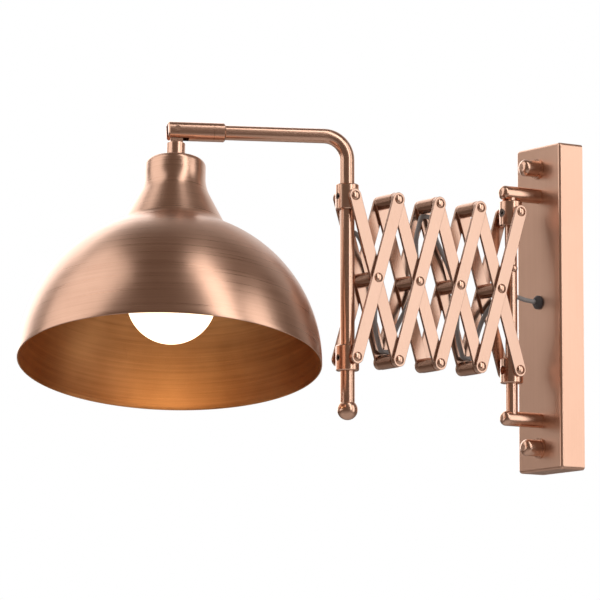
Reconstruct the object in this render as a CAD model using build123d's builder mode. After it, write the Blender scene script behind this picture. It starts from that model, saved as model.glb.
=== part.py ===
"""Wall lamp on a scissor arm, with a hemispherical spun shade.

The wall is the plane Y = 0, the lamp reaches out along -Y, X runs across and Z is up. The origin is the
centre of the canopy's back, on the wall. Sizes are in millimetres and angles in degrees.
"""
import os
from math import cos, radians, sin, sqrt, tan

from build123d import *

os.makedirs("parts", exist_ok=True)

# Fits: gaps between pieces, each on one side
running_gap = 0.05
seat_gap = 0.3

# Wall canopy: a sheet box with an open back
canopy_width = 50.0
canopy_end_margin = 8.0
canopy_depth = 20.0
canopy_wall = 1.5
canopy_corner_radius = 2.5
canopy_edge_radius = 2.0

# Bracket on the wall, its studs, and the knobs that hold the canopy on them
bracket_width = 32.0
bracket_end_margin = 8.0
bracket_thickness = 2.0
wall_screw_spacing = 120.0
wall_screw_hole_radius = 2.5
cable_entry_radius = 8.0
cable_entry_height = -30.0
stud_beyond_post = 19.3
stud_radius = 2.0
stud_engagement = 8.0
knob_flange_radius = 7.0
knob_flange_thickness = 1.6
knob_radius = 5.8
knob_length = 14.5
knob_nose_radius = 3.6

# Posts that hold the wall rod off the canopy
post_radius = 5.2
post_length = 32.5
post_nose_radius = 3.6
post_screw_radius = 2.0
post_screw_length = 10.0
post_screw_head_radius = 3.8
post_screw_head_height = 2.5
rod_seat_past_axis = 1.2

# Cable grommet in the canopy's front, and the terminal block behind it
grommet_height = 4.0
grommet_neck_radius = 3.5
grommet_flange_radius = 4.8
grommet_flange_thickness = 1.6
grommet_nose_radius = 2.9
grommet_nose_length = 2.0
terminal_width = 24.0
terminal_depth = 8.0
terminal_height = 18.0
terminal_screw_radius = 1.6
terminal_screw_depth = 3.0
terminal_screw_spacing = 8.0

# Wall rod, out from the wall, with a stop screw for the sliding collar
rod_offset = 44.0
rod_radius = 4.2
stop_height = 25.8
stop_head_radius = 2.6
stop_head_height = 2.0
stop_flat_depth = 0.6
stop_shank_radius = 1.5
stop_shank_length = 3.0

# Collars that carry the scissor on the wall rod and on the lamp tube
collar_radius = 8.0
collar_height = 17.4
collar_chamfer = 0.7
wall_grub_radius = 3.0
lamp_grub_radius = 2.2
grub_socket_radius = 1.25
grub_socket_depth = 1.6
grub_sink = 0.5

# Scissor: four crossed cells of flat strips in two layers a side
cells = 4
link_span = 115.3
rest_angle = 17.45
top_height = 64.5
strip_width = 9.5
strip_thickness = 2.0
strip_edge_radius = 0.35
spacer_radius = 5.0
pin_radius = 2.0
head_radius = 3.3
head_height = 1.7
rivet_shoulder_radius = 3.5
rivet_bite = 1.6
spot_face_depth = 0.85

# Lamp tube: upright through the collars, bent over into the arm
tube_radius = 5.0
tube_wall = 1.2
arm_height = 106.0
bend_radius = 16.0
swivel_rest = 22.9
tube_foot = -79.5
finial_radius = 7.0
finial_height = -80.5
cord_entry_height = 41.0
cord_entry_radius = 2.3

# Knuckle at the arm's end: a ring on the tube, then a slotted body that rolls on it
ring_to_pin = 33.1
ring_length = 7.9
ring_chamfer = 0.9
knuckle_radius = 6.5
knuckle_seam = 0.2
knuckle_pin_reach = 117.6
knuckle_nose = 6.2
knuckle_slot_back = 8.0
knuckle_roof = 2.0
tube_engagement = 15.5
knuckle_pin_radius = 2.0
roll_rest = 11.8
tilt_rest = 3.4

# Stem that joins the knuckle to the shade
tongue_thickness = 6.0
tongue_radius = 4.2
stem_radius = 6.3
stem_shoulder = 9.5
nipple_radius = 4.8
nipple_length = 10.0
stem_bore_radius = 2.2
nut_radius = 8.0
nut_height = 3.0

# Shade: neck, concave flare and a hemispherical dome; depths are measured down from the knuckle pin
shade_wall = 1.0
shade_top_depth = 22.0
dome_radius = 101.2
rim_above_centre = 0.6
neck_radius = 20.5
neck_shoulder_radius = 4.0
neck_length = 11.2
flare_radius = 30.0
cone_angle = 27.5
crease_radius = 36.5
crease_fillet = 14.0

# Lamp holder and bulb
holder_radius = 18.0
holder_length = 40.0
holder_edge_radius = 2.0
socket_radius = 14.2
socket_depth = 18.0
bulb_radius = 30.0
bulb_centre_depth = 120.4
bulb_neck_radius = 13.0
bulb_neck_straight = 2.0
bulb_wall = 1.0
cap_radius = 13.3
cap_length = 25.5
cap_button_radius = 5.0
cap_button_height = 2.0
cap_ridge = 0.5
cap_ridges = 5

# Cord from the grommet through the scissor to the lamp tube
cord_radius = 1.6
cord_gap = 0.3
cord_beside_rod = 6.2
cord_aside = 5.0
cord_fold_radius = 5.0
slack_joins_share = 0.78
slack_ends_share = 0.92
fold_leaves_share = 0.12
cord_joins_share = 0.4
cord_split_share = 0.5
lead_straight = 28.5
lead_crest_reach = -8.5
lead_crest_height = 8.0
slack_crest_reach = 5.5
slack_crest_height = 8.7
slack_fall_reach = 11.5
slack_fall_height = 2.3
cord_entry_bend = 4.5
cord_beside_tube = 9.2

# Layout worked out from the sizes above
cell_pitch = link_span * sin(radians(rest_angle))
row_height = link_span * cos(radians(rest_angle))
bottom_height = top_height - row_height
spacer_half = collar_radius + seat_gap
inner_face = spacer_half + running_gap
outer_face = inner_face + strip_thickness + running_gap
pin_half = outer_face + strip_thickness + running_gap
post_height = top_height + collar_height / 2 + seat_gap + post_radius
stud_height = post_height + stud_beyond_post
bracket_height = 2 * (stud_height + bracket_end_margin)
canopy_height = bracket_height + 2 * canopy_end_margin
canopy_front = -canopy_depth
canopy_inside = canopy_front + canopy_wall
ring_start = knuckle_pin_reach - ring_to_pin
knuckle_start = ring_start + ring_length + knuckle_seam
cone = radians(cone_angle)
cone_width = crease_radius - neck_radius - flare_radius * (1 - cos(cone))
flare_start = shade_top_depth + neck_length
crease_depth = flare_start + flare_radius * sin(cone) + cone_width / tan(cone)
dome_centre_depth = crease_depth + sqrt(dome_radius**2 - crease_radius**2)
shade_rim_depth = dome_centre_depth - rim_above_centre
wrap_radius = spacer_radius + cord_gap + cord_radius
slack_joins = slack_joins_share * link_span
slack_ends = slack_ends_share * link_span
fold_leaves = fold_leaves_share * link_span
cord_joins = cord_joins_share * link_span
cord_split = cord_split_share * link_span
fold_lift = wrap_radius + cord_fold_radius
across = Vector(1, 0, 0)
upward = Vector(0, 0, 1)


def place(reach, height, aside=0.0):
    """A point given by its reach out from the wall rod, its height and its offset across."""
    return Vector(aside, -(rod_offset + reach), height)


top_row = [place(i * cell_pitch, top_height) for i in range(cells + 1)]
bottom_row = [place(i * cell_pitch, bottom_height) for i in range(cells + 1)]
middle_row = [place((i + 0.5) * cell_pitch, top_height - row_height / 2) for i in range(cells)]
tube_axis = place(cells * cell_pitch, 0)

# Arm, knuckle and shade directions at rest
swivel, roll, tilt = radians(swivel_rest), radians(roll_rest), radians(tilt_rest)
arm_out = Vector(-sin(swivel), -cos(swivel), 0)
arm_side = Vector(cos(swivel), -sin(swivel), 0)
knuckle_down = arm_side * sin(roll) - upward * cos(roll)
pin_axis = arm_side * cos(roll) + upward * sin(roll)
shade_down = knuckle_down * cos(tilt) + arm_out * sin(tilt)
shade_out = arm_out * cos(tilt) - knuckle_down * sin(tilt)
arm_origin = tube_axis + upward * arm_height
knuckle_pin_centre = arm_origin + arm_out * knuckle_pin_reach


def save(builder, name):
    """Label a finished piece and write it to its own file."""
    builder.part.label = name
    export_step(builder.part, f"parts/{name}.step")


def facing(origin, normal, x_dir):
    """A sketch plane at a point, looking along a direction."""
    return Plane(origin=origin, x_dir=x_dir, z_dir=normal)


def wall_plane(height, depth):
    """A sketch plane parallel to the wall that grows outwards, on the lamp's centre line."""
    return facing((0, depth, height), (0, -1, 0), (1, 0, 0))


def side_profile(centre):
    """A plane through a pivot whose X runs across the lamp and whose Y is up, for turned pins."""
    return facing(centre, (0, -1, 0), (1, 0, 0))


def outward_profile(height):
    """A plane on the lamp's centre line whose X runs out from the wall and whose Y is up."""
    return facing((0, 0, height), (-1, 0, 0), (0, -1, 0))


def link_plane(start, end, face):
    """A plane on a link: X along it from its middle, looking across, at a distance to the side."""
    middle = (start + end) * 0.5
    return facing(middle + across * face, across, end - start)


def beside_link(start, end, along, aside):
    """A point along a link from its start, set off towards the lamp's side of it."""
    direction = (end - start).normalized()
    lampward = direction.cross(across)
    if lampward.Y > 0:
        lampward = lampward * -1
    return start + direction * along + lampward * aside


def shade_plane():
    """The shade's half-profile plane: X out from its axis, Y up along it from the knuckle pin."""
    return facing(knuckle_pin_centre, shade_out.cross(shade_down * -1), shade_out)


def across_shade(depth):
    """A plane square to the shade's axis at a depth below the knuckle pin, looking down it."""
    return facing(knuckle_pin_centre + shade_down * depth, shade_down, shade_out)


def across_arm(reach):
    """A plane square to the arm at a reach along it, looking out."""
    return facing(arm_origin + arm_out * reach, arm_out, pin_axis)


shade_axis = Axis(knuckle_pin_centre, shade_down)


# Wall unit: canopy, bracket, knobs, posts, grommet and terminals

with BuildPart() as wall_canopy:
    with BuildSketch(wall_plane(0, 0)):
        RectangleRounded(canopy_width, canopy_height, canopy_corner_radius)
    extrude(amount=canopy_depth)
    fillet(wall_canopy.faces().sort_by(Axis.Y)[0].edges(), canopy_edge_radius)
    offset(amount=-canopy_wall, openings=wall_canopy.faces().sort_by(Axis.Y)[-1])
    with BuildSketch(wall_plane(0, canopy_inside + seat_gap)):
        with Locations((0, stud_height), (0, -stud_height)):
            Circle(stud_radius + running_gap)
        with Locations((0, post_height), (0, -post_height)):
            Circle(post_screw_radius + running_gap)
        with Locations((0, grommet_height)):
            Circle(grommet_neck_radius + running_gap)
    extrude(amount=canopy_wall + 2 * seat_gap, mode=Mode.SUBTRACT)
save(wall_canopy, "wall_canopy")

with BuildPart() as wall_bracket:
    with BuildSketch(wall_plane(0, 0)):
        RectangleRounded(bracket_width, bracket_height, bracket_thickness)
        with GridLocations(0, wall_screw_spacing, 1, 2):
            Circle(wall_screw_hole_radius, mode=Mode.SUBTRACT)
        with GridLocations(0, 2 * stud_height, 1, 2):
            Circle(stud_radius + running_gap, mode=Mode.SUBTRACT)
        with Locations((0, cable_entry_height)):
            Circle(cable_entry_radius, mode=Mode.SUBTRACT)
    extrude(amount=bracket_thickness)
save(wall_bracket, "wall_bracket")

with BuildPart() as bracket_studs:
    for height in (stud_height, -stud_height):
        with BuildSketch(wall_plane(height, 0)):
            Circle(stud_radius)
        extrude(amount=canopy_depth + stud_engagement)
save(bracket_studs, "bracket_studs")

with BuildPart() as canopy_knobs:
    knob_end = canopy_depth + knob_length
    flange_end = canopy_depth + knob_flange_thickness
    for height in (stud_height, -stud_height):
        with BuildSketch(outward_profile(height)):
            with BuildLine():
                Line((canopy_depth, 0), (canopy_depth, knob_flange_radius))
                Line((canopy_depth, knob_flange_radius), (flange_end, knob_flange_radius))
                Line((flange_end, knob_flange_radius), (flange_end, knob_radius))
                Line((flange_end, knob_radius), (knob_end - knob_nose_radius, knob_radius))
                TangentArc(
                    (knob_end - knob_nose_radius, knob_radius),
                    (knob_end, knob_radius - knob_nose_radius),
                    tangent=(1, 0),
                )
                Line((knob_end, knob_radius - knob_nose_radius), (knob_end, 0))
                Line((knob_end, 0), (canopy_depth, 0))
            make_face()
        revolve(axis=Axis((0, 0, height), (0, -1, 0)))
        with BuildSketch(wall_plane(height, canopy_front)):
            Circle(stud_radius + running_gap)
        extrude(amount=stud_engagement + seat_gap, mode=Mode.SUBTRACT)
save(canopy_knobs, "canopy_knobs")

with BuildPart() as wall_posts:
    for height, rod_side in ((post_height, -1), (-post_height, 1)):
        with BuildSketch(wall_plane(height, canopy_front)):
            Circle(post_radius)
        extrude(amount=post_length)
    fillet(wall_posts.faces().filter_by(Axis.Y).sort_by(Axis.Y)[:2].edges(), post_nose_radius)
    for height, rod_side in ((post_height, -1), (-post_height, 1)):
        rod_mouth = height + rod_side * (post_radius + seat_gap)
        with BuildSketch(facing((0, -rod_offset, rod_mouth), (0, 0, -rod_side), (1, 0, 0))):
            Circle(rod_radius + running_gap)
        extrude(amount=post_radius + seat_gap + rod_seat_past_axis, mode=Mode.SUBTRACT)
        with BuildSketch(wall_plane(height, canopy_front)):
            Circle(post_screw_radius + running_gap)
        extrude(amount=post_screw_length + seat_gap, mode=Mode.SUBTRACT)
save(wall_posts, "wall_posts")

with BuildPart() as post_screws:
    for height in (post_height, -post_height):
        with BuildSketch(wall_plane(height, canopy_inside + post_screw_head_height)):
            Circle(post_screw_head_radius)
        extrude(amount=post_screw_head_height)
        with BuildSketch(wall_plane(height, canopy_inside)):
            Circle(post_screw_radius)
        extrude(amount=canopy_wall + post_screw_length)
save(post_screws, "post_screws")

with BuildPart() as cable_grommet:
    flange_back = canopy_depth - canopy_wall - grommet_flange_thickness
    flange_front = canopy_depth + grommet_flange_thickness
    grommet_bore = cord_radius + running_gap
    with BuildSketch(outward_profile(grommet_height)):
        with BuildLine():
            Polyline(
                (flange_back, grommet_bore),
                (flange_back, grommet_flange_radius),
                (canopy_depth - canopy_wall, grommet_flange_radius),
                (canopy_depth - canopy_wall, grommet_neck_radius),
                (canopy_depth, grommet_neck_radius),
                (canopy_depth, grommet_flange_radius),
                (flange_front, grommet_flange_radius),
                (flange_front + grommet_nose_length, grommet_nose_radius),
                (flange_front + grommet_nose_length, grommet_bore),
                close=True,
            )
        make_face()
    revolve(axis=Axis((0, 0, grommet_height), (0, -1, 0)))
save(cable_grommet, "cable_grommet")

with BuildPart() as terminal_block:
    terminal_front = -(bracket_thickness + terminal_depth)
    with BuildSketch(wall_plane(grommet_height, -bracket_thickness)):
        Rectangle(terminal_width, terminal_height)
    extrude(amount=terminal_depth)
    with BuildSketch(wall_plane(grommet_height, terminal_front)):
        with GridLocations(terminal_screw_spacing * 2, terminal_screw_spacing, 2, 2):
            Circle(terminal_screw_radius)
    extrude(amount=-terminal_screw_depth, mode=Mode.SUBTRACT)
save(terminal_block, "terminal_block")


# Wall rod with its stop screw

with BuildPart() as wall_rod:
    rod_half = post_height + rod_seat_past_axis - running_gap
    rod_flat = rod_radius - stop_flat_depth
    with BuildSketch(facing((0, -rod_offset, -rod_half), (0, 0, 1), (1, 0, 0))):
        Circle(rod_radius)
    extrude(amount=2 * rod_half)
    with BuildSketch(facing((rod_flat, -rod_offset, stop_height), (1, 0, 0), (0, 1, 0))):
        Circle(stop_head_radius + running_gap)
    extrude(amount=rod_radius, mode=Mode.SUBTRACT)
    with BuildSketch(facing((rod_flat, -rod_offset, stop_height), (-1, 0, 0), (0, 1, 0))):
        Circle(stop_shank_radius + running_gap)
    extrude(amount=stop_shank_length + seat_gap, mode=Mode.SUBTRACT)
save(wall_rod, "wall_rod")

with BuildPart() as rod_stop_screw:
    with BuildSketch(side_profile((0, -rod_offset, stop_height))):
        with BuildLine():
            Line((rod_flat - stop_shank_length, 0), (rod_flat - stop_shank_length, stop_shank_radius))
            Line((rod_flat - stop_shank_length, stop_shank_radius), (rod_flat, stop_shank_radius))
            Line((rod_flat, stop_shank_radius), (rod_flat, stop_head_radius))
            EllipticalCenterArc(
                (rod_flat, 0), stop_head_height, stop_head_radius, start_angle=0, arc_size=90
            )
            Line((rod_flat + stop_head_height, 0), (rod_flat - stop_shank_length, 0))
        make_face()
    revolve(axis=Axis((0, -rod_offset, stop_height), (1, 0, 0)))
save(rod_stop_screw, "rod_stop_screw")


# Collars: turned sleeves with a spot face and a rivet hole on each side

def turned_collar(centre, bore_radius, grub_radius, name):
    """A collar round an upright rod, with its grub screw's hole facing out from the wall."""
    with BuildPart() as collar:
        with BuildSketch(facing(centre - upward * (collar_height / 2), upward, across)):
            Circle(collar_radius)
        extrude(amount=collar_height)
        chamfer(collar.faces().filter_by(Axis.Z).edges(), collar_chamfer)
        with BuildSketch(facing(centre - upward * collar_height, upward, across)):
            Circle(bore_radius)
        extrude(amount=2 * collar_height, mode=Mode.SUBTRACT)
        for side in (1, -1):
            flat = across * (side * (collar_radius - spot_face_depth))
            with BuildSketch(facing(centre + flat, across * side, upward)):
                Circle(rivet_shoulder_radius + seat_gap)
            extrude(amount=collar_radius, mode=Mode.SUBTRACT)
            with BuildSketch(facing(centre + flat, across * -side, upward)):
                Circle(pin_radius + running_gap)
            extrude(amount=rivet_bite + running_gap, mode=Mode.SUBTRACT)
        with BuildSketch(facing(centre, (0, -1, 0), across)):
            Circle(grub_radius + running_gap)
        extrude(amount=2 * collar_radius, mode=Mode.SUBTRACT)
    save(collar, name)


def grub_screw(centre, bore_radius, grub_radius, name):
    """A socket grub screw from just clear of the rod to just under the collar's face."""
    start = bore_radius + running_gap
    length = collar_radius - grub_sink - start
    with BuildPart() as grub:
        with BuildSketch(facing(centre + Vector(0, -start, 0), (0, -1, 0), across)):
            Circle(grub_radius)
        extrude(amount=length)
        with BuildSketch(facing(centre + Vector(0, -start - length, 0), (0, 1, 0), across)):
            RegularPolygon(grub_socket_radius, 6)
        extrude(amount=grub_socket_depth, mode=Mode.SUBTRACT)
    save(grub, name)


rod_bore = rod_radius + running_gap
tube_bore = tube_radius + running_gap
turned_collar(top_row[0], rod_bore, wall_grub_radius, "wall_upper_collar")
turned_collar(bottom_row[0], rod_bore, wall_grub_radius, "wall_lower_collar")
turned_collar(top_row[cells], tube_bore, lamp_grub_radius, "lamp_upper_collar")
turned_collar(bottom_row[cells], tube_bore, lamp_grub_radius, "lamp_lower_collar")
grub_screw(top_row[0], rod_bore, wall_grub_radius, "wall_upper_grub_screw")
grub_screw(top_row[cells], tube_bore, lamp_grub_radius, "lamp_upper_grub_screw")
grub_screw(bottom_row[cells], tube_bore, lamp_grub_radius, "lamp_lower_grub_screw")


# Scissor strips, pins, spacers and collar rivets

def strip(start, end, face, name):
    """A flat link with rounded ends and a hole at each end and in the middle."""
    with BuildPart() as link:
        with BuildSketch(link_plane(start, end, face)):
            SlotCenterToCenter(link_span, strip_width)
        extrude(amount=strip_thickness)
        fillet(link.faces().filter_by(Axis.X).edges(), strip_edge_radius)
        with BuildSketch(link_plane(start, end, face)):
            with GridLocations(link_span / 2, 0, 3, 1):
                Circle(pin_radius + running_gap)
        extrude(amount=strip_thickness, mode=Mode.SUBTRACT)
    save(link, name)


def pin_halves(centre):
    """Profiles of the two halves of a through pin with domed heads, to turn about the pivot."""
    profiles = []
    for side in (1, -1):
        with BuildSketch(facing(centre, (0, -side, 0), (side, 0, 0))) as profile:
            with BuildLine():
                Line((pin_half + head_height, 0), (0, 0))
                Line((0, 0), (0, pin_radius))
                Line((0, pin_radius), (pin_half, pin_radius))
                Line((pin_half, pin_radius), (pin_half, head_radius))
                EllipticalCenterArc((pin_half, 0), head_height, head_radius, start_angle=0, arc_size=90)
            make_face()
        profiles.append(profile.sketch)
    return profiles


def collar_rivets(centre, strip_face):
    """Profiles of the two shouldered rivets that hold one layer of strips on a collar's sides."""
    profiles = []
    root = collar_radius - spot_face_depth - rivet_bite
    flat = collar_radius - spot_face_depth
    strip_inside = strip_face - running_gap
    head_face = strip_face + strip_thickness + running_gap
    for side in (1, -1):
        with BuildSketch(facing(centre, (0, -side, 0), (side, 0, 0))) as profile:
            with BuildLine():
                Polyline(
                    (head_face + head_height, 0),
                    (root, 0),
                    (root, pin_radius),
                    (flat, pin_radius),
                    (flat, rivet_shoulder_radius),
                    (strip_inside, rivet_shoulder_radius),
                    (strip_inside, pin_radius),
                    (head_face, pin_radius),
                    (head_face, head_radius),
                )
                EllipticalCenterArc((head_face, 0), head_height, head_radius, start_angle=0, arc_size=90)
            make_face()
        profiles.append(profile.sketch)
    return profiles


for i in range(cells):
    cell = f"cell{i + 1}"
    outer_start, outer_end = top_row[i], bottom_row[i + 1]
    inner_start, inner_end = bottom_row[i], top_row[i + 1]
    strip(outer_start, outer_end, outer_face, f"{cell}_outer_front_strip")
    strip(outer_start, outer_end, -outer_face - strip_thickness, f"{cell}_outer_back_strip")
    strip(inner_start, inner_end, inner_face, f"{cell}_inner_front_strip")
    strip(inner_start, inner_end, -inner_face - strip_thickness, f"{cell}_inner_back_strip")
    pivots = [middle_row[i]]
    if i > 0:
        pivots.append(outer_start)
    if i < cells - 1:
        pivots.append(outer_end)
    with BuildPart() as pins:
        for pivot in pivots:
            for half in pin_halves(pivot):
                revolve(half, axis=Axis(pivot, across))
        if i == 0:
            for rivet in collar_rivets(outer_start, outer_face):
                revolve(rivet, axis=Axis(outer_start, across))
        if i == cells - 1:
            for rivet in collar_rivets(outer_end, outer_face):
                revolve(rivet, axis=Axis(outer_end, across))
    save(pins, f"{cell}_pins")
    with BuildPart() as spacers:
        for pivot in pivots:
            with BuildSketch(facing(pivot - across * spacer_half, across, upward)):
                Circle(spacer_radius)
                Circle(pin_radius + running_gap, mode=Mode.SUBTRACT)
            extrude(amount=2 * spacer_half)
    save(spacers, f"{cell}_spacers")

with BuildPart() as wall_slider_rivets:
    for rivet in collar_rivets(bottom_row[0], inner_face):
        revolve(rivet, axis=Axis(bottom_row[0], across))
save(wall_slider_rivets, "wall_slider_rivets")

with BuildPart() as lamp_head_rivets:
    for rivet in collar_rivets(top_row[cells], inner_face):
        revolve(rivet, axis=Axis(top_row[cells], across))
save(lamp_head_rivets, "lamp_head_rivets")


# Lamp tube, finial and knuckle ring

with BuildPart() as lamp_tube:
    tube_end = knuckle_start + tube_engagement
    with BuildLine(facing(tube_axis, arm_out.cross(upward), arm_out)) as tube_path:
        FilletPolyline((0, tube_foot), (0, arm_height), (tube_end, arm_height), radius=bend_radius)
    with BuildSketch(facing(tube_axis + upward * tube_foot, upward, across)):
        Circle(tube_radius)
        Circle(tube_radius - tube_wall, mode=Mode.SUBTRACT)
    sweep(path=tube_path.line)
    with BuildSketch(facing(tube_axis + upward * cord_entry_height, (0, 1, 0), across)):
        Circle(cord_entry_radius)
    extrude(amount=2 * tube_radius, mode=Mode.SUBTRACT)
save(lamp_tube, "lamp_tube")

with BuildPart() as tube_finial:
    finial_centre = tube_axis + upward * finial_height
    with BuildSketch(side_profile(finial_centre)):
        Circle(finial_radius)
        with Locations((-finial_radius, 0)):
            Rectangle(2 * finial_radius, 2 * finial_radius, mode=Mode.SUBTRACT)
    revolve(axis=Axis(finial_centre, upward))
    with BuildSketch(facing(tube_axis + upward * (tube_foot - running_gap), upward, across)):
        Circle(tube_bore)
    extrude(amount=2 * finial_radius, mode=Mode.SUBTRACT)
save(tube_finial, "tube_finial")

with BuildPart() as knuckle_ring:
    with BuildSketch(across_arm(ring_start)):
        Circle(knuckle_radius)
    extrude(amount=ring_length)
    chamfer(knuckle_ring.faces().sort_by(Axis(arm_origin, arm_out))[0].edges(), ring_chamfer)
    with BuildSketch(across_arm(ring_start)):
        Circle(tube_bore)
    extrude(amount=ring_length, mode=Mode.SUBTRACT)
save(knuckle_ring, "knuckle_ring")


# Knuckle body with its slot and cross pin

with BuildPart() as knuckle_body:
    knuckle_end = knuckle_pin_reach + knuckle_nose
    slot_start = knuckle_pin_reach - knuckle_slot_back
    slot_roof = knuckle_radius - knuckle_roof
    slot_depth = slot_roof + 2 * knuckle_radius
    slot_width = tongue_thickness + 2 * seat_gap
    with BuildSketch(across_arm(knuckle_start)):
        Circle(knuckle_radius)
    extrude(amount=knuckle_end - knuckle_start)
    chamfer(knuckle_body.faces().sort_by(Axis(arm_origin, arm_out))[-1].edges(), ring_chamfer)
    with BuildSketch(across_arm(knuckle_start)):
        Circle(tube_bore)
    extrude(amount=tube_engagement + seat_gap, mode=Mode.SUBTRACT)
    with BuildSketch(across_arm(knuckle_start)):
        Circle(stem_bore_radius)
    extrude(amount=slot_start - knuckle_start + seat_gap, mode=Mode.SUBTRACT)
    slot_corner = arm_origin + arm_out * slot_start - knuckle_down * slot_roof
    with BuildSketch(facing(slot_corner, knuckle_down, arm_out)):
        with Locations((knuckle_nose + knuckle_slot_back, 0)):
            Rectangle(2 * (knuckle_nose + knuckle_slot_back), slot_width)
    extrude(amount=slot_depth, mode=Mode.SUBTRACT)
    with BuildSketch(facing(knuckle_pin_centre, pin_axis, arm_out)):
        Circle(knuckle_pin_radius + running_gap)
    extrude(amount=knuckle_radius, both=True, mode=Mode.SUBTRACT)
save(knuckle_body, "knuckle_body")

with BuildPart() as knuckle_pin:
    with BuildSketch(facing(knuckle_pin_centre, pin_axis, arm_out)):
        Circle(knuckle_pin_radius)
    extrude(amount=sqrt(knuckle_radius**2 - knuckle_pin_radius**2), both=True)
save(knuckle_pin, "knuckle_pin")


# Stem with its tongue in the slot and its nipple through the shade's top

with BuildPart() as shade_stem:
    with BuildSketch(facing(knuckle_pin_centre, pin_axis, shade_out)):
        Circle(tongue_radius)
        with Locations((0, stem_shoulder / 2)):
            Rectangle(2 * tongue_radius, stem_shoulder)
    extrude(amount=tongue_thickness / 2, both=True)
    with BuildSketch(across_shade(stem_shoulder)):
        Circle(stem_radius)
    extrude(amount=shade_top_depth - stem_shoulder)
    with BuildSketch(across_shade(shade_top_depth)):
        Circle(nipple_radius)
    extrude(amount=nipple_length)
    with BuildSketch(facing(knuckle_pin_centre, pin_axis, shade_out)):
        Circle(knuckle_pin_radius + running_gap)
    extrude(amount=tongue_thickness, both=True, mode=Mode.SUBTRACT)
    with BuildSketch(across_shade(shade_top_depth + nipple_length)):
        Circle(stem_bore_radius)
    extrude(amount=-(nipple_length + shade_top_depth - stem_shoulder), mode=Mode.SUBTRACT)
save(shade_stem, "shade_stem")

with BuildPart() as stem_nut:
    nut_start = shade_top_depth + shade_wall
    with BuildSketch(across_shade(nut_start)):
        RegularPolygon(nut_radius, 6)
        Circle(nipple_radius + running_gap, mode=Mode.SUBTRACT)
    extrude(amount=nut_height)
save(stem_nut, "stem_nut")


# Shade: the wall is drawn as its outside line and an inside line one wall thickness in

def crease_on(ball, foot):
    """Where a line at the cone's slope from a point meets a ball about the dome's centre."""
    out, down = sin(cone), cos(cone)
    rise = dome_centre_depth - foot[1]
    along = rise * down - foot[0] * out
    beyond = foot[0] ** 2 + rise**2 - ball**2
    length = along - sqrt(along**2 - beyond)
    return foot[0] + length * out, foot[1] + length * down


def shade_line(inset, flare_centre):
    """One side of the shade's wall, from the stem's hole to the rim, as points and arcs."""
    top = -(shade_top_depth + inset)
    neck = neck_radius - inset
    shoulder = neck_shoulder_radius - inset
    dome = dome_radius - inset
    flare = flare_radius + inset
    soft = crease_fillet + inset
    out, down = sin(cone), cos(cone)
    cone_top = (flare_centre[0] - flare * down, flare_centre[1] + flare * out)
    soft_middle = crease_on(dome + soft, (cone_top[0] + soft * down, cone_top[1] - soft * out))
    cone_foot = (soft_middle[0] - soft * down, soft_middle[1] + soft * out)
    share = dome / (dome + soft)
    dome_top = (soft_middle[0] * share, dome_centre_depth + (soft_middle[1] - dome_centre_depth) * share)
    rim = sqrt(dome**2 - (dome_centre_depth - shade_rim_depth) ** 2)
    dome_mid_depth = (dome_top[1] + shade_rim_depth) / 2
    dome_mid = sqrt(dome**2 - (dome_centre_depth - dome_mid_depth) ** 2)
    Line((nipple_radius + running_gap, top), (neck - shoulder, top))
    TangentArc((neck - shoulder, top), (neck, top - shoulder), tangent=(1, 0))
    Line((neck, top - shoulder), (neck, -flare_centre[1]))
    TangentArc((neck, -flare_centre[1]), (cone_top[0], -cone_top[1]), tangent=(0, -1))
    Line((cone_top[0], -cone_top[1]), (cone_foot[0], -cone_foot[1]))
    TangentArc((cone_foot[0], -cone_foot[1]), (dome_top[0], -dome_top[1]), tangent=(out, -down))
    ThreePointArc((dome_top[0], -dome_top[1]), (dome_mid, -dome_mid_depth), (rim, -shade_rim_depth))
    return rim


with BuildPart() as shade:
    flare_middle = (neck_radius + flare_radius, flare_start)
    hole = nipple_radius + running_gap
    with BuildSketch(shade_plane()):
        with BuildLine():
            outer_rim = shade_line(0, flare_middle)
            inner_rim = shade_line(shade_wall, flare_middle)
            Line((outer_rim, -shade_rim_depth), (inner_rim, -shade_rim_depth))
            Line((hole, -shade_top_depth), (hole, -shade_top_depth - shade_wall))
        make_face()
    revolve(axis=shade_axis)
save(shade, "shade")


# Lamp holder and bulb

with BuildPart() as lamp_holder:
    holder_top = shade_top_depth + shade_wall + nut_height
    holder_foot = holder_top + holder_length
    with BuildSketch(across_shade(holder_top)):
        Circle(holder_radius)
    extrude(amount=holder_length)
    fillet(lamp_holder.faces().sort_by(Axis(knuckle_pin_centre, shade_down))[0].edges(), holder_edge_radius)
    with BuildSketch(across_shade(holder_foot)):
        Circle(socket_radius)
    extrude(amount=-socket_depth, mode=Mode.SUBTRACT)
    with BuildSketch(across_shade(holder_top)):
        Circle(nipple_radius + running_gap)
    extrude(amount=nipple_length - shade_wall - nut_height + seat_gap, mode=Mode.SUBTRACT)
save(lamp_holder, "lamp_holder")

with BuildPart() as bulb_cap:
    cap_top = holder_foot - socket_depth + running_gap
    cap_shell = cap_top + cap_button_height
    cap_foot = cap_top + cap_length
    ridge_pitch = (cap_length - cap_button_height) / (2 * cap_ridges + 1)
    cap_points = [(0, -cap_top), (cap_button_radius, -cap_top), (cap_button_radius, -cap_shell)]
    for k in range(2 * cap_ridges + 2):
        ridge = cap_radius - (cap_ridge if k % 2 else 0)
        cap_points.append((ridge, -cap_shell - k * ridge_pitch))
    cap_points.append((0, -cap_foot))
    with BuildSketch(shade_plane()):
        with BuildLine():
            Polyline(*cap_points, close=True)
        make_face()
    revolve(axis=shade_axis)
save(bulb_cap, "bulb_cap")


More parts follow.
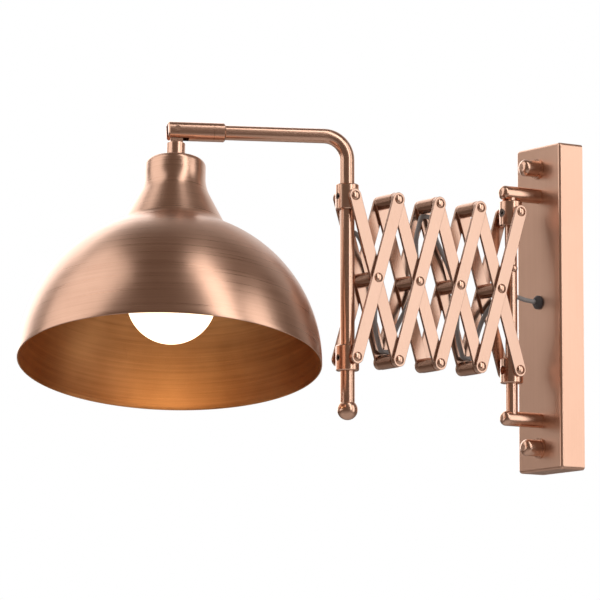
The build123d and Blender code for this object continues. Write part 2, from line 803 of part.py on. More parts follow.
def bulb_line(inset, waist_depth, waist_radius):
    """One side of the bulb's glass: straight neck, hollow waist and round bowl down to its pole."""
    neck = bulb_neck_radius - inset
    bowl = bulb_radius - inset
    waist = waist_radius + inset
    dx, dy = bulb_neck_radius + waist_radius, bulb_centre_depth - waist_depth
    reach = sqrt(dx * dx + dy * dy)
    touch = (bowl * dx / reach, bulb_centre_depth - bowl * dy / reach)
    mid_depth = (waist_depth + touch[1]) / 2
    mid = dx - sqrt(waist**2 - (mid_depth - waist_depth) ** 2)
    Line((neck, -cap_foot), (neck, -waist_depth))
    ThreePointArc((neck, -waist_depth), (mid, -mid_depth), (touch[0], -touch[1]))
    ThreePointArc((touch[0], -touch[1]), (bowl, -bulb_centre_depth), (0, -bulb_centre_depth - bowl))


with BuildPart() as bulb_glass:
    bulb_waist_depth = cap_foot + bulb_neck_straight
    waist_drop = bulb_centre_depth - bulb_waist_depth
    bowl_over_neck = bulb_radius - bulb_neck_radius
    bulb_waist = (bulb_neck_radius**2 + waist_drop**2 - bulb_radius**2) / (2 * bowl_over_neck)
    with BuildSketch(shade_plane()):
        with BuildLine():
            bulb_line(0, bulb_waist_depth, bulb_waist)
            bulb_line(bulb_wall, bulb_waist_depth, bulb_waist)
            Line((bulb_neck_radius, -cap_foot), (bulb_neck_radius - bulb_wall, -cap_foot))
            Line((0, -bulb_centre_depth - bulb_radius), (0, -bulb_centre_depth - bulb_radius + bulb_wall))
        make_face()
    revolve(axis=shade_axis)
save(bulb_glass, "bulb_glass")


# Cord: six lengths that meet end to end, one for each stretch that moves with its own part

def cord_tube(path, name):
    """A round tube along a path, with its length and volume printed to compare."""
    route = path.wire()
    with BuildPart() as cord:
        with BuildSketch(Plane(origin=route @ 0, z_dir=route % 0)) as section:
            Circle(cord_radius)
        sweep(path=route)
    ratio = cord.part.volume / (section.sketch.area * route.length)
    print(f"{name}: length {route.length:.1f} mm, volume over section times length {ratio:.4f}")
    save(cord, name)


def bend(before, corner, after):
    """The bend that two runs of a cord leave room for at a corner."""
    arriving, leaving = corner - before, after - corner
    half_turn = radians(arriving.get_angle(leaving)) / 2
    return 0.45 * min(arriving.length, leaving.length) / tan(half_turn)


def bends_of(points):
    """The bends at all the inner points of a route."""
    return [bend(*points[k : k + 3]) for k in range(len(points) - 2)]


def run(points):
    """A stretch of cord through points chosen by hand, each corner rounded as far as its runs allow."""
    if len(points) == 2:
        Line(*points)
    else:
        bends = bends_of(points)
        print("bends", [round(size, 1) for size in bends])
        FilletPolyline(*points, radius=bends)


def cord_link(start, end):
    """The line beside the back strips along which the cord follows a link."""
    return start - across * cord_aside, end - across * cord_aside


def shifted(link, lift):
    """A link's line moved up or down to where a fold of the cord touches the spacer at its end."""
    return link[0] + upward * lift, link[1] + upward * lift


outer_1, inner_2 = cord_link(top_row[0], bottom_row[1]), cord_link(bottom_row[1], top_row[2])
outer_3, inner_4 = cord_link(top_row[2], bottom_row[3]), cord_link(bottom_row[3], top_row[4])
lead_crest = place(lead_crest_reach, lead_crest_height, -cord_beside_rod)
slack_crest = place(slack_crest_reach, slack_crest_height, -cord_beside_rod)
lead_end = (lead_crest + slack_crest) * 0.5
lead_points = [
    Vector(0, terminal_front, grommet_height),
    Vector(0, -lead_straight, grommet_height),
    lead_crest,
    lead_end,
]
slack_points = [
    lead_end,
    slack_crest,
    place(slack_fall_reach, slack_fall_height, -cord_aside),
    beside_link(*shifted(outer_1, fold_lift), slack_joins, -cord_fold_radius),
    beside_link(*shifted(outer_1, fold_lift), slack_ends, -cord_fold_radius),
]
with BuildLine() as lead_path:
    run(lead_points)
cord_tube(lead_path, "cord_lead")
with BuildLine() as slack_path:
    run(slack_points)
cord_tube(slack_path, "cord_slack")


def arriving_points(link, lift):
    """The points by which the cord leaves the middle of a link for the fold at its end."""
    return [
        beside_link(*link, cord_split, -wrap_radius),
        beside_link(*link, link_span - cord_joins, -wrap_radius),
        beside_link(*shifted(link, lift), link_span - fold_leaves, -cord_fold_radius),
    ]


def leaving_points(link, lift):
    """The points by which the cord leaves a fold for the middle of the next link."""
    return [
        beside_link(*shifted(link, lift), fold_leaves, cord_fold_radius),
        beside_link(*link, cord_joins, -wrap_radius),
        beside_link(*link, cord_split, -wrap_radius),
    ]


def folded_run(arriving, first, second, lift, name):
    """A cord that arrives along one link, folds at the spacer at its end and leaves along the next."""
    line_in, line_out = shifted(first, lift), shifted(second, lift)
    backward = (first[1] - first[0] + second[0] - second[1]).normalized()
    fold_start = beside_link(*line_in, link_span, -cord_fold_radius)
    fold_middle = line_in[1] + backward * cord_fold_radius
    fold_end = beside_link(*line_out, 0, cord_fold_radius)
    with BuildLine() as path:
        run([*arriving, fold_start])
        ThreePointArc(fold_start, fold_middle, fold_end)
        run([fold_end, *leaving_points(second, lift)])
    cord_tube(path, name)


folded_run(slack_points[-1:], outer_1, inner_2, fold_lift, "cord_on_first_spacer")
folded_run(arriving_points(inner_2, -fold_lift), inner_2, outer_3, -fold_lift, "cord_under_second_spacer")
folded_run(arriving_points(outer_3, fold_lift), outer_3, inner_4, fold_lift, "cord_on_third_spacer")

entry_reach = cells * cell_pitch
tail_points = [
    beside_link(*inner_4, cord_split, -wrap_radius),
    beside_link(*inner_4, link_span - cord_joins, -wrap_radius),
    place(entry_reach - cord_beside_tube, cord_entry_height),
    place(entry_reach - tube_radius + tube_wall, cord_entry_height),
]
with BuildLine() as tail_path:
    FilletPolyline(*tail_points, radius=[bend(*tail_points[:3]), cord_entry_bend])
cord_tube(tail_path, "cord_tail")
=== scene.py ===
from math import asin, atan2, cos, pi, radians, sin, sqrt, tan

import bmesh
import bpy
from mathutils import Matrix, Vector


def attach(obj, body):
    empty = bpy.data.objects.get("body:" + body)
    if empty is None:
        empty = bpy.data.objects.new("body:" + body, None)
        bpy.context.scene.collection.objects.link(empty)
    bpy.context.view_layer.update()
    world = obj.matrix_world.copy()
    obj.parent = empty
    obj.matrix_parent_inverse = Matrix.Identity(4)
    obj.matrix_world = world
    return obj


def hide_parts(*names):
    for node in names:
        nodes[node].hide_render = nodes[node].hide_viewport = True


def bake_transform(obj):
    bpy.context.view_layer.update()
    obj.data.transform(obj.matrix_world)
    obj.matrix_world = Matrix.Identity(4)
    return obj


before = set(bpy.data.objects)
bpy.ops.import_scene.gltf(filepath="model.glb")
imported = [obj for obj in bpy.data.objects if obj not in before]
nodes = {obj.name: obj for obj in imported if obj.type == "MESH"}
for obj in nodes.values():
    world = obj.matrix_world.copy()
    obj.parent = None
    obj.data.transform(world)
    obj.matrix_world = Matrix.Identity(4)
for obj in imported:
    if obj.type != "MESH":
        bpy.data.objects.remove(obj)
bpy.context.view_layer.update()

# Layout, in metres: the wall is Y = 0, the lamp reaches out along -Y and Z is up
rod_offset = 0.044
link_span = 0.1153
link_lean = radians(17.45)
top_height = 0.0645
cells = 4
cell_pitch = link_span * sin(link_lean)
row_height = link_span * cos(link_lean)
bottom_height = top_height - row_height
tube_reach = cells * cell_pitch
arm_height = 0.106
knuckle_pin_reach = 0.1176
swivel, roll, tilt = radians(22.9), radians(11.8), radians(3.4)

# Shade, with depths below the knuckle's pin
shade_wall = 0.001
shade_top_depth = 0.022
rim_above_centre = 0.0006
dome_radius = 0.1012
neck_radius = 0.0205
neck_shoulder = 0.004
neck_length = 0.0112
flare_radius = 0.03
cone_lean = radians(27.5)
crease_radius = 0.0365
crease_fillet = 0.014
stem_hole = 0.00485
cone_width = crease_radius - neck_radius - flare_radius * (1 - cos(cone_lean))
flare_middle = Vector((neck_radius + flare_radius, -shade_top_depth - neck_length))
crease_depth = flare_radius * sin(cone_lean) + cone_width / tan(cone_lean) - flare_middle.y
dome_depth = crease_depth + sqrt(dome_radius**2 - crease_radius**2)
dome_middle = Vector((0, -dome_depth))
rim_depth = dome_depth - rim_above_centre
bulb_neck_depth = 0.078
bulb_bowl_depth = 0.105

# How finely the shade is spun, and how its map runs along it
shoulder_steps = 6
bend_steps = 8
dome_steps = 40
rim_steps = 6
spin_steps = 160
sharp_edge = radians(22)
map_per_metre = 10

# Cord, and how far its middle runs from the pieces that it passes
cord_radius = 0.0016
cord_fold = 0.005
cord_aside = 0.005
cord_beside_rod = 0.0062
cord_beside_tube = 0.0092
cord_end_in_tube = 0.0038
cord_entry_height = 0.041
spacer_clear = 0.0069
fold_lift = spacer_clear + cord_fold
fold_bend = 0.0066
tail_split_share = 0.55

# Cord at the wall: the lead's straight run from the wall, then reaches out from the rod
terminal_front = 0.01
grommet_height = 0.004
lead_straight = 0.0285
lead_crest_reach, lead_crest_height = -0.0085, 0.008
slack_crest_reach, slack_crest_height = 0.0055, 0.0087
slack_fall_reach, slack_fall_height = 0.0115, 0.0023

# Cord along a link, from the link's start
slack_joins = 0.78 * link_span
slack_ends = 0.92 * link_span
fold_leaves = 0.12 * link_span
fold_arrives = 0.88 * link_span
cord_joins = 0.4 * link_span
cord_split = 0.5 * link_span
cord_parts = 0.6 * link_span

across = Vector((1, 0, 0))
upward = Vector((0, 0, 1))


def place(reach, height, aside=0.0):
    """A point given by its reach out from the wall rod, its height and its offset across."""
    return Vector((aside, -(rod_offset + reach), height))


top_row = [place(i * cell_pitch, top_height) for i in range(cells + 1)]
bottom_row = [place(i * cell_pitch, bottom_height) for i in range(cells + 1)]
tube_axis = place(tube_reach, 0)

arm_out = Vector((-sin(swivel), -cos(swivel), 0))
arm_side = Vector((cos(swivel), -sin(swivel), 0))
knuckle_down = arm_side * sin(roll) - upward * cos(roll)
shade_down = knuckle_down * cos(tilt) + arm_out * sin(tilt)
shade_out = arm_out * cos(tilt) - knuckle_down * sin(tilt)
knuckle_pin = tube_axis + upward * arm_height + arm_out * knuckle_pin_reach


def axes_at(origin, x_axis, z_axis):
    """The matrix that carries a piece drawn round Z at the origin to its place."""
    y_axis = z_axis.cross(x_axis)
    turn = Matrix((x_axis, y_axis, z_axis)).transposed()
    return Matrix.Translation(origin) @ turn.to_4x4()


shade_place = axes_at(knuckle_pin, shade_out, -shade_down)


# Shader nodes that the finishes, the floor and the background share

def feed(tree, socket, value):
    """Links a socket to another node's output, or sets it to a plain value."""
    if isinstance(value, bpy.types.NodeSocket):
        tree.links.new(value, socket)
    else:
        socket.default_value = value


def worked_out(tree, operation, *values):
    """The result of a math node."""
    node = tree.nodes.new("ShaderNodeMath")
    node.operation = operation
    for socket, value in zip(node.inputs, values):
        feed(tree, socket, value)
    return node.outputs[0]


def share_between(tree, value, low, high, course="LINEAR"):
    """How far a value has come from low to high, from 0 to 1."""
    node = tree.nodes.new("ShaderNodeMapRange")
    node.interpolation_type = course
    node.inputs["From Min"].default_value = low
    node.inputs["From Max"].default_value = high
    tree.links.new(value, node.inputs["Value"])
    return node.outputs[0]


def colour_between(tree, share, first, second):
    """The colour that lies between two others by a share."""
    node = tree.nodes.new("ShaderNodeMix")
    node.data_type = "RGBA"
    feed(tree, node.inputs["Factor"], share)
    feed(tree, node.inputs["A"], first)
    feed(tree, node.inputs["B"], second)
    return node.outputs["Result"]


# Finishes

def new_group(name, inputs, outputs):
    """An empty shader node group with its sockets, and the nodes at its two ends."""
    tree = bpy.data.node_groups.new(name, "ShaderNodeTree")
    for label, kind, value in inputs:
        socket = tree.interface.new_socket(label, in_out="INPUT", socket_type=kind)
        if value is not None:
            socket.default_value = value
    for label, kind in outputs:
        tree.interface.new_socket(label, in_out="OUTPUT", socket_type=kind)
    return tree, tree.nodes.new("NodeGroupInput"), tree.nodes.new("NodeGroupOutput")


line_share, cloud_share = 0.5, 0.5
deepest_tone, lightest_tone = 0.3, 0.7
noise_middle = 0.5
brushing_depth = 0.0004


def brushing_group():
    """Fine brushed lines with slow changes of tone: a colour, a roughness and a height."""
    tree, start, end = new_group(
        "brushing",
        [
            ("Vector", "NodeSocketVector", None),
            ("Stretch", "NodeSocketVector", (20.0, 20.0, 900.0)),
            ("Light", "NodeSocketColor", (0.8, 0.5, 0.38, 1)),
            ("Deep", "NodeSocketColor", (0.6, 0.35, 0.25, 1)),
            ("Rough", "NodeSocketFloat", 0.3),
            ("Rough Spread", "NodeSocketFloat", 0.12),
        ],
        [("Colour", "NodeSocketColor"), ("Roughness", "NodeSocketFloat"), ("Height", "NodeSocketFloat")],
    )
    make, link = tree.nodes.new, tree.links.new
    stretch = make("ShaderNodeVectorMath")
    stretch.operation = "MULTIPLY"
    link(start.outputs["Vector"], stretch.inputs[0])
    link(start.outputs["Stretch"], stretch.inputs[1])
    lines = make("ShaderNodeTexNoise")
    lines.inputs["Scale"].default_value = 1.0
    lines.inputs["Detail"].default_value = 5.0
    lines.inputs["Roughness"].default_value = 0.7
    link(stretch.outputs[0], lines.inputs["Vector"])
    clouds = make("ShaderNodeTexNoise")
    clouds.inputs["Scale"].default_value = 22.0
    clouds.inputs["Detail"].default_value = 3.0
    link(start.outputs["Vector"], clouds.inputs["Vector"])
    line_tone = worked_out(tree, "MULTIPLY", lines.outputs["Fac"], line_share)
    tone = worked_out(tree, "MULTIPLY_ADD", clouds.outputs["Fac"], cloud_share, line_tone)
    lightness = share_between(tree, tone, deepest_tone, lightest_tone)
    colour = colour_between(tree, lightness, start.outputs["Deep"], start.outputs["Light"])
    link(colour, end.inputs["Colour"])
    uneven = worked_out(tree, "SUBTRACT", lines.outputs["Fac"], noise_middle)
    rough = worked_out(tree, "MULTIPLY_ADD", uneven, start.outputs["Rough Spread"], start.outputs["Rough"])
    link(rough, end.inputs["Roughness"])
    link(lines.outputs["Fac"], end.inputs["Height"])
    return tree


brushing = brushing_group()


def new_material(name):
    """A new material with its node tree and its shader."""
    material = bpy.data.materials.new(name)
    material.use_nodes = True
    tree = material.node_tree
    return material, tree, tree.nodes["Principled BSDF"]


def turned_coordinates(tree, origin=(0, 0, 0), turn=(0, 0, 0)):
    """Object coordinates moved to a piece's own axis, so that its brushing follows its shape."""
    coordinates = tree.nodes.new("ShaderNodeTexCoord")
    mapping = tree.nodes.new("ShaderNodeMapping")
    mapping.vector_type = "TEXTURE"
    mapping.inputs["Location"].default_value = origin
    mapping.inputs["Rotation"].default_value = turn
    tree.links.new(coordinates.outputs["Object"], mapping.inputs["Vector"])
    return mapping.outputs["Vector"]


def brushed_copper(
    name, stretch, light, deep, rough, spread=0.08, bump=0.006,
    origin=(0, 0, 0), turn=(0, 0, 0), anisotropy=0.0, uv=None,
):
    """Copper plate brushed along one direction."""
    material, tree, shader = new_material(name)
    group = tree.nodes.new("ShaderNodeGroup")
    group.node_tree = brushing
    tree.links.new(turned_coordinates(tree, origin, turn), group.inputs["Vector"])
    group.inputs["Stretch"].default_value = stretch
    group.inputs["Light"].default_value = (*light, 1)
    group.inputs["Deep"].default_value = (*deep, 1)
    group.inputs["Rough"].default_value = rough
    group.inputs["Rough Spread"].default_value = spread
    relief = tree.nodes.new("ShaderNodeBump")
    relief.inputs["Strength"].default_value = bump
    relief.inputs["Distance"].default_value = brushing_depth
    tree.links.new(group.outputs["Height"], relief.inputs["Height"])
    tree.links.new(group.outputs["Colour"], shader.inputs["Base Color"])
    tree.links.new(group.outputs["Roughness"], shader.inputs["Roughness"])
    tree.links.new(relief.outputs["Normal"], shader.inputs["Normal"])
    shader.inputs["Metallic"].default_value = 1.0
    shader.inputs["Anisotropic"].default_value = anisotropy
    if uv:
        tangent = tree.nodes.new("ShaderNodeTangent")
        tangent.direction_type = "UV_MAP"
        tangent.uv_map = uv
        tree.links.new(tangent.outputs["Tangent"], shader.inputs["Tangent"])
    return material


def plain_finish(name, light, deep, rough, grain, metallic=0.0):
    """A plain surface with a fine even grain, for rubber, plastic and bare metal."""
    finish = brushed_copper(name, (grain, grain, grain), light, deep, rough, spread=0.15, bump=0.05)
    finish.node_tree.nodes["Principled BSDF"].inputs["Metallic"].default_value = metallic
    return finish


copper_light = (0.76, 0.485, 0.355)
copper_deep = (0.55, 0.325, 0.23)
# Inside of the shade: the same copper as outside, with the bulb's warm glow and its shade painted in as a
# deeper, more golden colour
lining_painted_glow_light = (0.7, 0.36, 0.15)
lining_painted_glow_deep = (0.42, 0.185, 0.07)
satin_light = (0.76, 0.485, 0.36)
satin_deep = (0.68, 0.42, 0.305)
strip_light = (0.61, 0.41, 0.315)
strip_deep = (0.56, 0.365, 0.275)
# Spacers: the same copper, made deeper to paint the shade and dark reflections between the strips
spacer_painted_shade_light = (0.52, 0.31, 0.215)
spacer_painted_shade_deep = (0.38, 0.21, 0.145)
along_strip = (900, 900, 18)
along_canopy = (700, 700, 9)
round_upright = (60, 60, 1200)
round_post = (60, 1200, 60)
round_pin = (1200, 60, 60)
shade_turn = shade_place.to_euler()

shade_copper = brushed_copper(
    "shade_copper", (6, 6, 900), copper_light, copper_deep, rough=0.3, spread=0.2, bump=0.07,
    origin=knuckle_pin, turn=shade_turn, anisotropy=0.6, uv="around",
)
# Lining finish: copper with painted warm light from the bulb, on the shade's inside
shade_lining_painted_glow = brushed_copper(
    "shade_lining_painted_glow", (8, 8, 500), lining_painted_glow_light, lining_painted_glow_deep, rough=0.42, spread=0.3, bump=0.2,
    origin=knuckle_pin, turn=shade_turn, anisotropy=0.4, uv="around",
)
leaning_out = brushed_copper(
    "outer_strip_copper", along_strip, strip_light, strip_deep, rough=0.26, turn=(link_lean, 0, 0),
)
leaning_in = brushed_copper(
    "inner_strip_copper", along_strip, strip_light, strip_deep, rough=0.26, turn=(-link_lean, 0, 0),
)
canopy_copper = brushed_copper(
    "canopy_copper", along_canopy, satin_light, satin_deep, rough=0.32, bump=0.01,
)
turned_copper = brushed_copper("turned_copper", round_upright, satin_light, satin_deep, rough=0.24)
post_copper = brushed_copper("post_copper", round_post, satin_light, satin_deep, rough=0.24)
pin_copper = brushed_copper("pin_copper", round_pin, satin_light, satin_deep, rough=0.22)
# Spacer finish: copper with painted shade from the strips around it
spacer_copper_painted_shade = brushed_copper("spacer_copper_painted_shade", round_pin, spacer_painted_shade_light, spacer_painted_shade_deep, rough=0.26)

bare_steel = plain_finish(
    "bare_steel", (0.62, 0.62, 0.61), (0.5, 0.5, 0.49), rough=0.38, grain=600, metallic=1.0,
)
dark_steel = plain_finish(
    "dark_steel", (0.17, 0.13, 0.11), (0.11, 0.085, 0.07), rough=0.4, grain=600, metallic=1.0,
)
cord_grey = plain_finish(
    "cord_grey", (0.42, 0.42, 0.42), (0.32, 0.32, 0.33), rough=0.55, grain=1500,
)
grommet_dark = plain_finish(
    "grommet_dark", (0.09, 0.09, 0.095), (0.05, 0.05, 0.055), rough=0.5, grain=900,
)
holder_black = plain_finish(
    "holder_black", (0.05, 0.05, 0.05), (0.035, 0.035, 0.035), rough=0.4, grain=700,
)
terminal_white = plain_finish(
    "terminal_white", (0.82, 0.82, 0.8), (0.76, 0.76, 0.74), rough=0.45, grain=500,
)
cap_metal = plain_finish(
    "cap_metal", (0.75, 0.75, 0.76), (0.66, 0.66, 0.67), rough=0.3, grain=800, metallic=1.0,
)

glow_at_neck = (0.9, 0.55, 0.25, 1)
glow_at_bowl = (1.0, 0.76, 0.48, 1)
glow_strength = 2.6
frosted_white = (0.95, 0.93, 0.88, 1)


def lit_glass():
    """The frosted glass of the lit bulb, a little brighter over its bowl than at its neck."""
    material, tree, shader = new_material("lit_glass")
    where = turned_coordinates(tree, knuckle_pin, shade_turn)
    split = tree.nodes.new("ShaderNodeSeparateXYZ")
    tree.links.new(where, split.inputs[0])
    down_bulb = share_between(tree, split.outputs["Z"], -bulb_neck_depth, -bulb_bowl_depth)
    glow = colour_between(tree, down_bulb, glow_at_neck, glow_at_bowl)
    tree.links.new(glow, shader.inputs["Emission Color"])
    shader.inputs["Emission Strength"].default_value = glow_strength
    shader.inputs["Base Color"].default_value = frosted_white
    shader.inputs["Roughness"].default_value = 0.5
    return material


bulb_light = lit_glass()
named_finishes = {
    "wall_canopy": canopy_copper, "canopy_knobs": post_copper, "wall_posts": post_copper,
    "wall_bracket": bare_steel, "bracket_studs": bare_steel, "post_screws": bare_steel,
    "cable_grommet": grommet_dark, "terminal_block": terminal_white, "lamp_holder": holder_black,
    "stem_nut": bare_steel, "bulb_cap": cap_metal, "bulb_glass": bulb_light, "shade": shade_copper,
}


def finish_of(node):
    """The finish that a solid carried over from the model wears."""
    if node.endswith("_strip"):
        return leaning_out if "outer" in node else leaning_in
    if node.endswith("_spacers"):
        return spacer_copper_painted_shade
    if node.endswith(("_pins", "_rivets")):
        return pin_copper
    if node.endswith("_grub_screw"):
        return dark_steel
    if node.startswith("cord_"):
        return cord_grey
    return named_finishes.get(node, turned_copper)


for node, piece in nodes.items():
    piece.data.materials.clear()
    piece.data.materials.append(finish_of(node))


# Shade: the spun sheet with a rounded rim, unwrapped so that its brushing runs round it

def arc_points(centre, radius, start, end, count):
    """Points on an arc, its ends included, with angles in radians."""
    angles = [start + (end - start) * k / count for k in range(count + 1)]
    return [(centre[0] + radius * cos(a), centre[1] + radius * sin(a)) for a in angles]


# The middle of the arc between cone and dome, seen from the dome's middle
cone_slope = Vector((sin(cone_lean), -cos(cone_lean)))
cone_outward = Vector((cos(cone_lean), sin(cone_lean)))
beside_cone = flare_middle - cone_outward * (flare_radius - crease_fillet) - dome_middle
nearing = beside_cone.dot(cone_slope)
outside = beside_cone.length_squared - (dome_radius + crease_fillet) ** 2
crease_middle = beside_cone + cone_slope * (-nearing - sqrt(nearing**2 - outside))
crease_turn = atan2(crease_middle.y, crease_middle.x)


def shade_side(inset):
    """One side of the shade's wall from the stem's hole to just above the rim."""
    top = -(shade_top_depth + inset)
    neck, shoulder = neck_radius - inset, neck_shoulder - inset
    dome = dome_radius - inset
    rim = asin((rim_above_centre + shade_wall / 2) / dome)
    cone_turn = pi + cone_lean
    crease = dome_middle + crease_middle
    side = [(stem_hole, top), ((stem_hole + neck) / 2, top)]
    side += arc_points((neck - shoulder, top - shoulder), shoulder, pi / 2, 0, shoulder_steps)
    side += arc_points(flare_middle, flare_radius + inset, pi, cone_turn, bend_steps)
    side += arc_points(crease, crease_fillet + inset, cone_turn, pi + crease_turn, bend_steps)
    side += arc_points(dome_middle, dome, crease_turn, rim, dome_steps)
    return side


def spun(name, profile):
    """A piece spun round Z from its half profile, with a map that runs along it and round it."""
    mesh = bmesh.new()
    points = [mesh.verts.new((x, 0, z)) for x, z in profile]
    edges = [mesh.edges.new(pair) for pair in zip(points, points[1:])]
    bmesh.ops.spin(
        mesh, geom=points + edges, cent=(0, 0, 0), axis=(0, 0, 1), angle=2 * pi, steps=spin_steps,
        use_merge=True,
    )
    bmesh.ops.remove_doubles(mesh, verts=mesh.verts, dist=1e-6)
    bmesh.ops.recalc_face_normals(mesh, faces=mesh.faces)
    layer = mesh.loops.layers.uv.new("around")
    for face in mesh.faces:
        face.smooth = True
        middle = face.calc_center_median()
        for corner in face.loops:
            spot = corner.vert.co
            turn = Vector((spot.x, spot.y)).angle_signed(Vector((middle.x, middle.y)), 0.0)
            round_it = Vector((middle.x, middle.y)).angle_signed(Vector((1, 0)), 0.0) + turn
            corner[layer].uv = (spot.z * map_per_metre, round_it / (2 * pi))
    mesh.transform(shade_place)
    data = bpy.data.meshes.new(name)
    mesh.to_mesh(data)
    mesh.free()
    data.set_sharp_from_angle(angle=sharp_edge)
    piece = bpy.data.objects.new(name, data)
    bpy.context.collection.objects.link(piece)
    return piece


rim_middle = sqrt((dome_radius - shade_wall / 2) ** 2 - rim_above_centre**2)
rim_round = arc_points((rim_middle, -rim_depth + shade_wall / 2), shade_wall / 2, 0, -pi, rim_steps)
shade_profile = shade_side(0) + rim_round[1:-1] + shade_side(shade_wall)[::-1]
shade_piece = spun("spun_shade", shade_profile)
shade_piece.data.materials.append(shade_copper)
shade_piece.data.materials.append(shade_lining_painted_glow)
dome_centre = shade_place @ Vector((0, 0, -dome_depth))
# Faces that look into the dome get the lining, with its painted warm glow
for face in shade_piece.data.polygons:
    if face.normal.dot(dome_centre - face.center) > 0:
        face.material_index = 1
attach(shade_piece, "shade_unit")
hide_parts("shade")


# Cord: folded between the strips, resting on the lower spacers and passing under the upper one

def beside_link(link, along, lampward):
    """A point along a link from its start, set off towards the lamp's side of it."""
    course = (link[1] - link[0]).normalized()
    sideways = course.cross(across)
    if sideways.y > 0:
        sideways = -sideways
    return link[0] + course * along + sideways * lampward


def cord_link(start, end, lift=0.0):
    """The line beside the back strips along which the cord follows a link, raised to meet a fold."""
    shift = upward * lift - across * cord_aside
    return start + shift, end + shift


def fold_points(first, second, lift):
    """The corners of a fold at the spacer where two links meet."""
    line_in, line_out = cord_link(*first, lift), cord_link(*second, lift)
    corner = cord_fold * tan(pi / 4 - link_lean / 2)
    return [
        beside_link(line_in, link_span, -cord_fold),
        beside_link(line_in, link_span + corner, -cord_fold),
        beside_link(line_out, -corner, cord_fold),
        beside_link(line_out, 0, cord_fold),
    ]


def arriving_points(link, lift):
    """From the middle of a link to the fold at its end."""
    return [
        beside_link(cord_link(*link), cord_split, -spacer_clear),
        beside_link(cord_link(*link), cord_parts, -spacer_clear),
        beside_link(cord_link(*link, lift), fold_arrives, -cord_fold),
    ]


def leaving_points(link, lift):
    """From the fold at a link's start to the link's middle."""
    return [
        beside_link(cord_link(*link, lift), fold_leaves, cord_fold),
        beside_link(cord_link(*link), cord_joins, -spacer_clear),
        beside_link(cord_link(*link), cord_split, -spacer_clear),
    ]


def cord_piece(node, points, bodies, bend_from, bend_to, part=""):
    """A length of cord along its route, drawn as a tube that takes the place of the model's cord node."""
    curve = bpy.data.curves.new(node, "CURVE")
    curve.dimensions = "3D"
    curve.bevel_depth = cord_radius
    curve.bevel_resolution = 4
    curve.resolution_u = 10
    curve.use_fill_caps = True
    route = curve.splines.new("NURBS")
    route.points.add(len(points) - 1)
    for spot, point in zip(route.points, points):
        spot.co = (*point, 1)
    route.order_u = 3
    route.use_endpoint_u = True
    drawn = bpy.data.objects.new(node, curve)
    bpy.context.collection.objects.link(drawn)
    ready = drawn.evaluated_get(bpy.context.evaluated_depsgraph_get())
    data = bpy.data.meshes.new_from_object(ready)
    bpy.data.objects.remove(drawn)
    data.materials.clear()
    data.materials.append(cord_grey)
    piece = bpy.data.objects.new("sheath_" + node + part, data)
    bpy.context.collection.objects.link(piece)
    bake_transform(piece)
    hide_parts(node)


def folded_cord(node, arriving, first, second, lift, bodies):
    """A length that arrives along one link, folds at the spacer at its end and leaves along the next."""
    points = arriving + fold_points(first, second, lift) + leaving_points(second, lift)
    spacer, half_bend = first[1], across.cross(upward) * fold_bend
    cord_piece(node, points, bodies, spacer - half_bend, spacer + half_bend)


outer_1, inner_2 = (top_row[0], bottom_row[1]), (bottom_row[1], top_row[2])
outer_3, inner_4 = (top_row[2], bottom_row[3]), (bottom_row[3], top_row[4])

# From the terminals through the grommet and past the wall rod
lead_crest = place(lead_crest_reach, lead_crest_height, -cord_beside_rod)
slack_crest = place(slack_crest_reach, slack_crest_height, -cord_beside_rod)
lead_end = (lead_crest + slack_crest) / 2
lead_start = Vector((0, -terminal_front, grommet_height))
lead_corner = Vector((0, -lead_straight, grommet_height))
lead_bend = place(-0.012, 0), place(-0.002, 0)
cord_piece(
    "cord_lead", [lead_start, lead_corner, lead_crest, lead_end], ("wall_unit", "swing_post"), *lead_bend,
)

# Down to the first lower spacer
slack_fall = place(slack_fall_reach, slack_fall_height, -cord_aside)
slack_line = cord_link(*outer_1, fold_lift)
slack_join = beside_link(slack_line, slack_joins, -cord_fold)
slack_end = beside_link(slack_line, slack_ends, -cord_fold)
slack_bend = place(0.007, 0.008), place(0.023, -0.014)
cord_piece(
    "cord_slack", [lead_end, slack_crest, slack_fall, slack_join, slack_end], ("swing_post", "outer1"),
    *slack_bend,
)

# Along the links, with a fold at each spacer where they meet
folded_cord("cord_on_first_spacer", [slack_end], outer_1, inner_2, fold_lift, ("outer1", "inner2"))
folded_cord(
    "cord_under_second_spacer", arriving_points(inner_2, -fold_lift), inner_2, outer_3, -fold_lift,
    ("inner2", "outer3"),
)
folded_cord(
    "cord_on_third_spacer", arriving_points(outer_3, fold_lift), outer_3, inner_4, fold_lift,
    ("outer3", "inner4"),
)

# Into the lamp tube, in two lengths
tail_start = arriving_points(inner_4, 0)[:2]
tail_corner = place(tube_reach - cord_beside_tube, cord_entry_height)
tail_middle = tail_start[1].lerp(tail_corner, tail_split_share)
tail_end = place(tube_reach - cord_end_in_tube, cord_entry_height)
tail_bend = place(tube_reach - 0.022, 0.014), tail_middle
entry_bend = [place(tube_reach - before, cord_entry_height) for before in (0.0097, 0.006)]
cord_piece("cord_tail", tail_start + [tail_middle], ("inner4", "lamp_head"), *tail_bend)
cord_piece(
    "cord_tail", [tail_middle, tail_corner, tail_end], ("lamp_head", "lamp_arm"), *entry_bend, "_end",
)


# Camera, light and background

def aim(place_from, place_to):
    """The turn that points a camera or a light from one place to another."""
    return (Vector(place_to) - Vector(place_from)).to_track_quat("-Z", "Y").to_euler()


def direction(azimuth, elevation):
    """A direction out from the lamp: azimuth 0 is straight out from the wall, 90 is to the right."""
    a, e = radians(azimuth), radians(elevation)
    return Vector((sin(a) * cos(e), -cos(a) * cos(e), sin(e)))


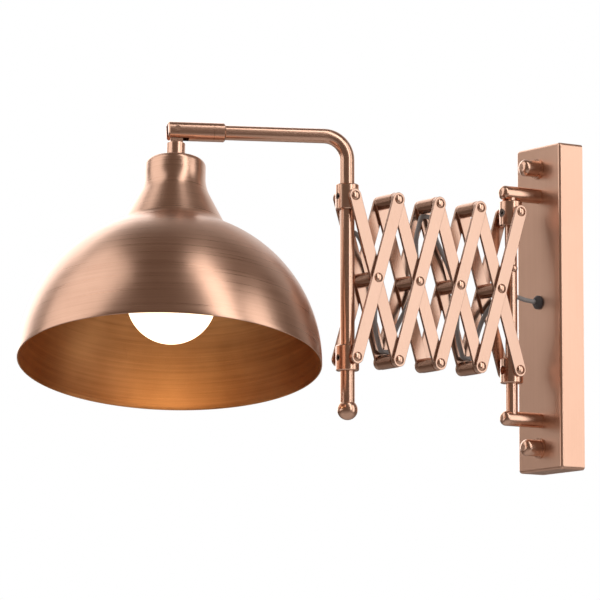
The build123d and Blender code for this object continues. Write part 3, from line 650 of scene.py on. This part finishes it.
view_azimuth, view_elevation = 55.91, -7.3
view_target = Vector((-0.10482, -0.15, 0.0076))
view_distance = 3.15
camera_data = bpy.data.cameras.new("camera")
camera_data.lens = 270.0
camera_data.sensor_width = 36.0
camera_data.clip_end = 50.0
camera = bpy.data.objects.new("camera", camera_data)
camera.location = view_target + direction(view_azimuth, view_elevation) * view_distance
camera.rotation_euler = aim(camera.location, view_target)
bpy.context.collection.objects.link(camera)
bpy.context.scene.camera = camera

lamp_middle = Vector((-0.02, -0.2, 0.02))
box_distance = 1.6


def softbox(name, azimuth, elevation, width, height, power):
    """A soft rectangular light that faces the lamp and stays out of the camera's sight."""
    light = bpy.data.lights.new(name, "AREA")
    light.shape = "RECTANGLE"
    light.size, light.size_y = width, height
    light.energy = power
    box = bpy.data.objects.new(name, light)
    box.location = lamp_middle + direction(azimuth, elevation) * box_distance
    box.rotation_euler = aim(box.location, lamp_middle)
    box.visible_camera = False
    bpy.context.collection.objects.link(box)


softbox("left_box", view_azimuth - 82, 27, width=1.5, height=2.3, power=13)
softbox("right_box", view_azimuth + 42, 32, width=0.5, height=2.8, power=11)
softbox("rear_right_box", view_azimuth + 72, 8, width=0.7, height=1.8, power=6.5)
softbox("back_box", view_azimuth + 205, 22, width=1.4, height=1.4, power=8)

white = (1, 1, 1, 1)
floor_height = -1.1
floor_half_width = 60
floor_lift = 0.5


def pale_floor():
    """A plain pale floor below the lamp, lifted towards white for the camera and clear from underneath."""
    mesh = bmesh.new()
    bmesh.ops.create_grid(mesh, x_segments=1, y_segments=1, size=floor_half_width)
    bmesh.ops.translate(mesh, verts=mesh.verts, vec=(0, 0, floor_height))
    data = bpy.data.meshes.new("floor")
    mesh.to_mesh(data)
    mesh.free()
    pale = plain_finish("floor_pale", (0.84, 0.84, 0.84), (0.82, 0.82, 0.82), rough=0.7, grain=3)
    tree = pale.node_tree
    make, link = tree.nodes.new, tree.links.new
    shader = tree.nodes["Principled BSDF"]
    path = make("ShaderNodeLightPath")
    seen = worked_out(tree, "MAXIMUM", path.outputs["Is Camera Ray"], path.outputs["Is Transmission Ray"])
    link(worked_out(tree, "MULTIPLY", seen, floor_lift), shader.inputs["Emission Strength"])
    shader.inputs["Emission Color"].default_value = white
    side = make("ShaderNodeNewGeometry")
    clear = make("ShaderNodeBsdfTransparent")
    either = make("ShaderNodeMixShader")
    link(side.outputs["Backfacing"], either.inputs["Fac"])
    link(shader.outputs["BSDF"], either.inputs[1])
    link(clear.outputs["BSDF"], either.inputs[2])
    link(either.outputs["Shader"], tree.nodes["Material Output"].inputs["Surface"])
    data.materials.append(pale)
    floor = bpy.data.objects.new("floor", data)
    bpy.context.collection.objects.link(floor)


pale_floor()

room_colour = (0.17, 0.13, 0.107, 1)
backdrop_from, backdrop_full = 0.35, 0.95


def studio_world():
    """White to the camera and, in reflections, behind the lamp, with a dim warm room all round."""
    world = bpy.data.worlds.new("studio")
    world.use_nodes = True
    bpy.context.scene.world = world
    tree = world.node_tree
    make, link = tree.nodes.new, tree.links.new
    backdrop = tree.nodes["Background"]
    path = make("ShaderNodeLightPath")
    where = make("ShaderNodeTexCoord")
    behind = make("ShaderNodeVectorMath")
    behind.operation = "DOT_PRODUCT"
    link(where.outputs["Generated"], behind.inputs[0])
    behind.inputs[1].default_value = -direction(view_azimuth, 0)
    rear = share_between(tree, behind.outputs["Value"], backdrop_from, backdrop_full, "SMOOTHSTEP")
    mirrored = worked_out(tree, "MULTIPLY", path.outputs["Is Glossy Ray"], rear)
    seen = worked_out(tree, "MAXIMUM", path.outputs["Is Camera Ray"], path.outputs["Is Transmission Ray"])
    shown = worked_out(tree, "MAXIMUM", seen, mirrored)
    link(colour_between(tree, shown, room_colour, white), backdrop.inputs["Color"])
    backdrop.inputs["Strength"].default_value = 1.0


studio_world()
bpy.context.scene.view_settings.view_transform = "Standard"
